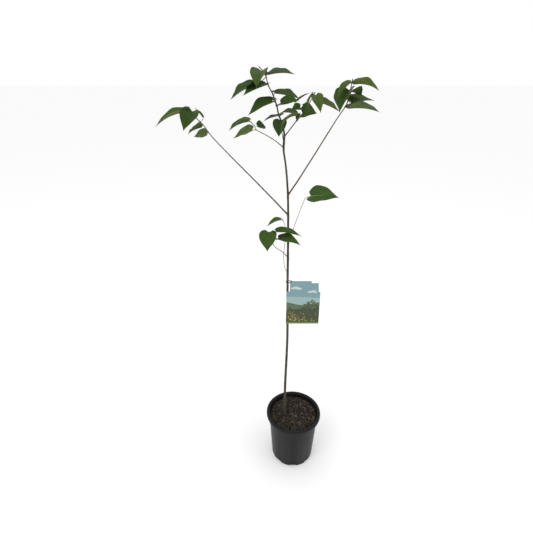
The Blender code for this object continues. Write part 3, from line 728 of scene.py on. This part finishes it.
def make_plant():
    """The trunk, the boughs and every spray."""
    barks = {name: bark_material(name, *look) for name, look in BARKS.items()}
    whole = smooth_route(TRUNK_ROUTE, ROUTE_SPACING)
    along = route_lengths(whole)
    trunk, leader = split_route(whole, np.interp(TRUNK_TOP, whole[:, 2], along) / along[-1])
    piece = make_limb("trunk", trunk, trunk_radii(trunk), TRUNK_SIDES, barks["trunk_bark"])
    for vertex in piece.data.vertices[:TRUNK_SIDES]:
        vertex.co.z = TRUNK_ROUTE[0][2] * MM
    make_spray("top_spray", leader, LEADER_RADIUS, TIP_RADIUS, False, barks["bough_bark"])
    for bough in BOUGHS:
        route = smooth_route(bough.route, ROUTE_SPACING)
        limb, stem = split_route(route, bough.spray_at)
        joint_radius = bough.radius + (bough.tip_radius - bough.radius) * bough.spray_at
        bark = barks["green_bark" if bough.name == "short_left_bough" else "bough_bark"]
        make_limb(bough.name, limb, limb_radii(limb, bough.radius, joint_radius, True), BOUGH_SIDES, bark)
        make_spray(bough.spray, stem, joint_radius, bough.tip_radius, False, bark)
    for shoot in SHOOTS:
        bark = barks["pale_stalk" if shoot.spray in PALE_SHOOTS else "bough_bark"]
        route = smooth_route(shoot.route, STEM_SPACING)
        make_spray(shoot.spray, route, shoot.radius, shoot.tip_radius, True, bark)


def pot_profile():
    """The pot's section: under the floor, up the wall, round the turned-down lip and down inside."""
    lip_roof = POT_HEIGHT - POT_WALL - LIP_GAP
    lip_foot = POT_HEIGHT - LIP_DEPTH
    skirt_in = POT_RIM_RADIUS - POT_WALL
    return [
        (0, 0),
        *((POT_FOOT_RADIUS - inward, up) for inward, up in FOOT_ROUND),
        (POT_TOP_RADIUS, lip_foot), (POT_TOP_RADIUS + LIP_GAP, lip_roof),
        (skirt_in, lip_roof), (skirt_in, lip_foot),
        (POT_RIM_RADIUS - 0.3, lip_foot), (POT_RIM_RADIUS, lip_foot + 1),
        *((POT_RIM_RADIUS - inward, POT_HEIGHT - down) for inward, down in LIP_OUTER_ROUND),
        *((POT_TOP_RADIUS + outward, POT_HEIGHT - down) for outward, down in LIP_INNER_ROUND),
        (POT_TOP_RADIUS - POT_WALL, lip_foot), (POT_FOOT_RADIUS - POT_WALL, POT_FLOOR), (0, POT_FLOOR),
    ]


def turned(profile, segments):
    """Points and faces of a solid of revolution about Z."""
    points = [(0, 0, profile[0][1]), (0, 0, profile[-1][1])]
    for radius, z in profile[1:-1]:
        for k in range(segments):
            turn = 2 * math.pi * k / segments
            points.append((radius * math.cos(turn), radius * math.sin(turn), z))
    faces = []
    rings = len(profile) - 2
    for k in range(segments):
        after = (k + 1) % segments
        faces.append([0, 2 + after, 2 + k])
        for ring in range(rings - 1):
            low = 2 + ring * segments
            faces.append([low + k, low + after, low + segments + after, low + segments + k])
        top = 2 + (rings - 1) * segments
        faces.append([1, top + k, top + after])
    return points, faces


def prism(outline, low, high, axis):
    """Points and faces of a closed prism over an outline of (a, b) pairs, along "y" or "z"."""
    def place(a, b, height):
        return (a, height, b) if axis == "y" else (a, b, height)

    count = len(outline)
    points = [place(a, b, low) for a, b in outline] + [place(a, b, high) for a, b in outline]
    faces = [list(range(count))[::-1], list(range(count, 2 * count))]
    for k in range(count):
        after = (k + 1) % count
        faces.append([k, after, after + count, k + count])
    if axis == "y":
        faces = [face[::-1] for face in faces]
    return points, faces


def cut(obj, cutters):
    """Cuts the cutters out of the object for good, and removes them."""
    for cutter in cutters:
        step = obj.modifiers.new("cut", "BOOLEAN")
        step.operation = "DIFFERENCE"
        step.solver = "EXACT"
        step.object = cutter
    bpy.context.view_layer.update()
    mesh = bpy.data.meshes.new_from_object(obj.evaluated_get(bpy.context.evaluated_depsgraph_get()))
    obj.modifiers.clear()
    obj.data = mesh
    for cutter in cutters:
        bpy.data.objects.remove(cutter, do_unlink=True)
    mesh.shade_smooth()
    mesh.set_sharp_from_angle(angle=math.radians(SMOOTH_ANGLE))


def plastic_material(name, colour, roughness, dust):
    """Moulded plastic with fine grain, faint scuffs and a little dust."""
    material, tree, shader = material_nodes(name, colour, roughness, 0.16)
    scuffs = noise_node(tree, 22, 8, (1, 1, 0.35))
    tone = ramp_node(tree, scuffs.outputs["Fac"], [(0.35, scaled(colour, 0.85)), (0.6, colour), (0.8, dust)])
    tree.links.new(tone.outputs["Color"], shader.inputs["Base Color"])
    grain = noise_node(tree, 1400, 2)
    bump_node(tree, shader, grain.outputs["Fac"], 0.12, 0.0002)
    return material


def make_pot():
    """The nursery pot with its drain slots."""
    plastic = plastic_material("pot_plastic", POT_COLOUR, 0.45, POT_DUST)
    points, faces = turned(pot_profile(), POT_SEGMENTS)
    pot = new_object("nursery_pot", points, faces, [plastic])
    inner = POT_FOOT_RADIUS - DRAIN_SLOT_REACH
    outer = POT_FOOT_RADIUS + 10
    half = DRAIN_SLOT_WIDTH / 2
    cutters = []
    for k in range(DRAIN_SLOTS):
        turn = 2 * math.pi * k / DRAIN_SLOTS
        cos, sin = math.cos(turn), math.sin(turn)
        corners = [(inner, -half), (outer, -half), (outer, half), (inner, half)]
        outline = [(x * cos - y * sin, x * sin + y * cos) for x, y in corners]
        cutters.append(new_object("slot", *prism(outline, -5, DRAIN_SLOT_HEIGHT, "z"), []))
    cut(pot, cutters)
    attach(pot, "root")
    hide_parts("pot")


def chip_points(rng, length, centre):
    """An irregular flat flake: a lumpy block of that length, turned at random."""
    half = Vector((length / 2, length * rng.uniform(*CHIP_WIDTHS), length * rng.uniform(*CHIP_THICKNESSES)))
    tilts = rng.uniform(-CHIP_TILT, CHIP_TILT), rng.uniform(-CHIP_TILT, CHIP_TILT)
    turn = Euler((*tilts, rng.uniform(0, 2 * math.pi))).to_matrix()
    points = []
    for z in (-1, 1):
        for k in range(CHIP_CORNERS):
            angle = 2 * math.pi * k / CHIP_CORNERS
            reach = rng.uniform(0.75, 1.1) * (0.82 if z > 0 else 1)
            spot = Vector((math.cos(angle) * half.x * reach, math.sin(angle) * half.y * reach,
                           z * half.z * rng.uniform(0.6, 1.1)))
            points.append(tuple(turn @ spot + centre))
    faces = [list(range(CHIP_CORNERS))[::-1], list(range(CHIP_CORNERS, 2 * CHIP_CORNERS))]
    for k in range(CHIP_CORNERS):
        after = (k + 1) % CHIP_CORNERS
        faces.append([k, after, CHIP_CORNERS + after, CHIP_CORNERS + k])
    return points, faces


def make_soil():
    """The potting mix: a dark bed with bark chips and a few pale pebbles strewn over it."""
    rng = random.Random(5)
    materials = []
    for number, colour in enumerate(CHIP_COLOURS):
        material, tree, shader = material_nodes(f"chip_{number}", colour, 0.85, 0.25)
        grain = noise_node(tree, 260, 6, (1, 3, 1))
        stops = [(0.3, scaled(colour, 0.55)), (0.7, scaled(colour, 1.4))]
        tone = ramp_node(tree, grain.outputs["Fac"], stops)
        tree.links.new(tone.outputs["Color"], shader.inputs["Base Color"])
        bump_node(tree, shader, grain.outputs["Fac"], 0.7, 0.0012)
        materials.append(material)
    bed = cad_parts["soil"]
    bed.data.materials.clear()
    bed.data.materials.append(materials[0])
    chips = Shape()
    trunk = Vector((TRUNK_ROUTE[0][0], TRUNK_ROUTE[0][1], 0))
    pebble = len(CHIP_COLOURS) - 1
    for _ in range(CHIP_COUNT):
        length = rng.uniform(*CHIP_LENGTHS) if rng.random() < CHIP_SHARE else rng.uniform(*CRUMB_LENGTHS)
        reach = (SOIL_RADIUS - length * 0.45) * math.sqrt(rng.random())
        turn = rng.uniform(0, 2 * math.pi)
        level = SOIL_TOP - rng.uniform(*CHIP_LEVELS)
        centre = Vector((reach * math.cos(turn), reach * math.sin(turn), level))
        if (centre.xy - trunk.xy).length < CHIP_CLEARANCE + length / 2:
            continue
        kind = rng.choices(range(len(CHIP_COLOURS)), CHIP_WEIGHTS)[0]
        chips.add(*chip_points(rng, length * (PEBBLE_SIZE if kind == pebble else 1), centre), kind)
    piece = chips.build("bark_chips", materials)
    piece.data.polygons.foreach_set("use_smooth", [False] * len(piece.data.polygons))
    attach(piece, "root")


def print_material(name, colour):
    """Printed card: a faint halftone grain under a satin film."""
    material, tree, shader = material_nodes(name, colour, 0.35)
    grain = noise_node(tree, 500, 3)
    stops = [(0.3, scaled(colour, 0.9)), (0.7, scaled(colour, 1.08))]
    tone = ramp_node(tree, grain.outputs["Fac"], stops)
    tree.links.new(tone.outputs["Color"], shader.inputs["Base Color"])
    return material


def ellipse(x, z, width, height, turn=0, points=28):
    """An ellipse's outline on the card."""
    cos, sin = math.cos(turn), math.sin(turn)
    outline = []
    for k in range(points):
        angle = 2 * math.pi * k / points
        a, b = width / 2 * math.cos(angle), height / 2 * math.sin(angle)
        outline.append((x + a * cos - b * sin, z + a * sin + b * cos))
    return outline


def make_label():
    """The label: a printed card of rolling hills, clouds, shrubs and meadow flowers, without lettering."""
    materials = [print_material("print_" + name, colour) for name, colour in LABEL_COLOURS.items()]
    number = {name: k for k, name in enumerate(LABEL_COLOURS)}
    front = CARD_BACK - CARD_THICKNESS
    card = new_object("card", *prism(CARD_OUTLINE, front, CARD_BACK, "y"), [materials[number["sky"]]])
    hole_at = (STRAP_RIGHT + HOLE_OFFSET[0], STRAP_LEVEL + HOLE_OFFSET[1])
    hole = ellipse(*hole_at, 2 * HOLE_RADIUS, 2 * HOLE_RADIUS, 0, 24)
    cut(card, [new_object("hole", *prism(hole, CARD_BACK - 5, CARD_BACK + 5, "y"), [])])
    card.name = "label_sheet"
    ink = Shape()

    def lay(outline, kind, height):
        ink.add(*prism(outline, front - height, front + 0.02, "y"), number[kind])

    def ridge(level, swell, turns, start):
        line = []
        for x in np.linspace(PRINT_LEFT, PRINT_RIGHT, 40):
            share = (x - PRINT_LEFT) / (PRINT_RIGHT - PRINT_LEFT)
            line.append((x, level + swell * math.sin(turns * share * 2 * math.pi + start)))
        return [(PRINT_LEFT, PRINT_FOOT), (PRINT_RIGHT, PRINT_FOOT)] + line[::-1]

    rng = random.Random(3)
    lay(ridge(585, 1.5, 0.6, 1), "haze", 0.02)
    for x, z, width in CLOUDS:
        lay(ellipse(x, z, width, width * 0.4), "cloud", 0.03 + 0.001 * abs(x))
    lay(ridge(566, 5, 0.8, 2.2), "far_hill", 0.09)
    lay(ridge(547, 4, 0.7, 5.2), "field", 0.12)
    for x, tall in SHRUBS:
        for step in range(int(tall * TUFTS_PER_HEIGHT)):
            up = rng.random()
            spread = tall * 0.42 * math.sin(math.pi * min(1, 0.25 + 0.75 * up)) ** 0.7
            weights = (3 - 2 * up, 2.4, 0.3 + 1.6 * up)
            kind = rng.choices(("shrub_dark", "shrub_mid", "shrub_light"), weights)[0]
            size = rng.uniform(*TUFT_SIZES)
            place = (min(x + rng.uniform(-1, 1) * spread, SHRUB_LIMIT), SHRUB_FOOT + tall * 1.25 * up)
            tuft = ellipse(*place, size, size * rng.uniform(0.5, 0.9), rng.uniform(0, 3), 9)
            lay(tuft, kind, 0.15 + 0.001 * step)
    for step in range(FLOWERS):
        x = rng.uniform(-29, 20) if step < FLOWERS_AT_LEFT else rng.uniform(-29, 53)
        z = MEADOW_FOOT + MEADOW_DEPTH * rng.random() ** 1.4
        size = 1.2 + 2.6 * (1 - (z - MEADOW_FOOT) / 32) * rng.random()
        kind = "flower_dark" if rng.random() < 0.2 else "flower"
        lay(ellipse(x, z, size + 0.8, size, rng.uniform(0, 3), 8), kind, 0.2)
    band = [
        (PRINT_LEFT, PRINT_FOOT), (PRINT_RIGHT, PRINT_FOOT), (PRINT_RIGHT, EDGE_TOP), (PRINT_LEFT, EDGE_TOP),
    ]
    lay(band, "edge", 0.22)
    printing = ink.build("label_printing", materials)
    for piece in (card, printing):
        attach(piece, "root")
        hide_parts("label_card")


def make_strap():
    """The strap round the trunk and through the card's hole, with a soft edge."""
    plastic = plastic_material("strap_plastic", STRAP_COLOUR, 0.4, STRAP_DUST)
    middle = STRAP_INNER_RADIUS + STRAP_THICKNESS / 2
    loop = []
    for centre, start in ((STRAP_LEFT, 90), (STRAP_RIGHT, 270)):
        for turn in np.radians(np.linspace(start, start + 180, STRAP_END_POINTS)):
            loop.append((centre + middle * math.cos(turn), STRAP_MIDDLE + middle * math.sin(turn)))
    section = []
    for k in range(STRAP_SECTION_POINTS):
        turn = 2 * math.pi * (k + 0.5) / STRAP_SECTION_POINTS
        cos, sin = math.cos(turn), math.sin(turn)
        out = math.copysign(abs(cos) ** STRAP_SQUARENESS, cos) * STRAP_THICKNESS / 2
        up = math.copysign(abs(sin) ** STRAP_SQUARENESS, sin) * STRAP_HEIGHT / 2
        section.append((out, up))
    points, faces = [], []
    count = len(loop)
    for k, (x, y) in enumerate(loop):
        ahead = loop[(k + 1) % count]
        behind = loop[k - 1]
        out = unit(np.array([ahead[1] - behind[1], behind[0] - ahead[0]]))
        for across, up in section:
            points.append((x + out[0] * across, y + out[1] * across, STRAP_LEVEL + up))
    sides = len(section)
    for k in range(count):
        after = (k + 1) % count
        for j in range(sides):
            beside = (j + 1) % sides
            faces.append([k * sides + j, after * sides + j, after * sides + beside, k * sides + beside])
    strap = new_object("label_band", points, faces, [plastic])
    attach(strap, "root")
    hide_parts("label_strap")


def make_stage():
    """The camera, a plain pale floor and soft studio light."""
    camera = bpy.data.cameras.new("camera")
    camera.sensor_width = SENSOR_WIDTH
    camera.lens = CAMERA_FOCUS / PICTURE_WIDTH * SENSOR_WIDTH
    camera.clip_end = 50
    viewer = bpy.data.objects.new("camera", camera)
    viewer.location = CAMERA_PLACE
    viewer.rotation_euler = Euler((math.radians(90 - CAMERA_PITCH), 0, 0))
    bpy.context.scene.collection.objects.link(viewer)
    bpy.context.scene.camera = viewer
    bpy.context.scene.view_settings.view_transform = "Standard"
    paint = material_nodes("floor_paint", FLOOR_COLOUR, 0.9, 0)[0]
    corners = [(x * FLOOR_REACH, y * FLOOR_REACH, 0) for x, y in ((-1, -1), (1, -1), (1, 1), (-1, 1))]
    floor = new_object("floor", corners, [[0, 1, 2, 3]], [paint])
    world = bpy.data.worlds.new("studio")
    world.use_nodes = True
    world.node_tree.nodes["Background"].inputs["Color"].default_value = (1, 1, 1, 1)
    world.node_tree.nodes["Background"].inputs["Strength"].default_value = BACKGROUND_STRENGTH
    bpy.context.scene.world = world
    for name, place, size, power in LAMPS:
        light = bpy.data.lights.new(name, "AREA")
        light.energy = power
        light.size = size
        lamp = bpy.data.objects.new(name, light)
        lamp.location = place
        aim = Vector(LAMP_AIM) - Vector(place)
        lamp.rotation_euler = aim.to_track_quat("-Z", "Y").to_euler()
        bpy.context.scene.collection.objects.link(lamp)


make_stage()
make_pot()
make_soil()
make_plant()
make_label()
make_strap()
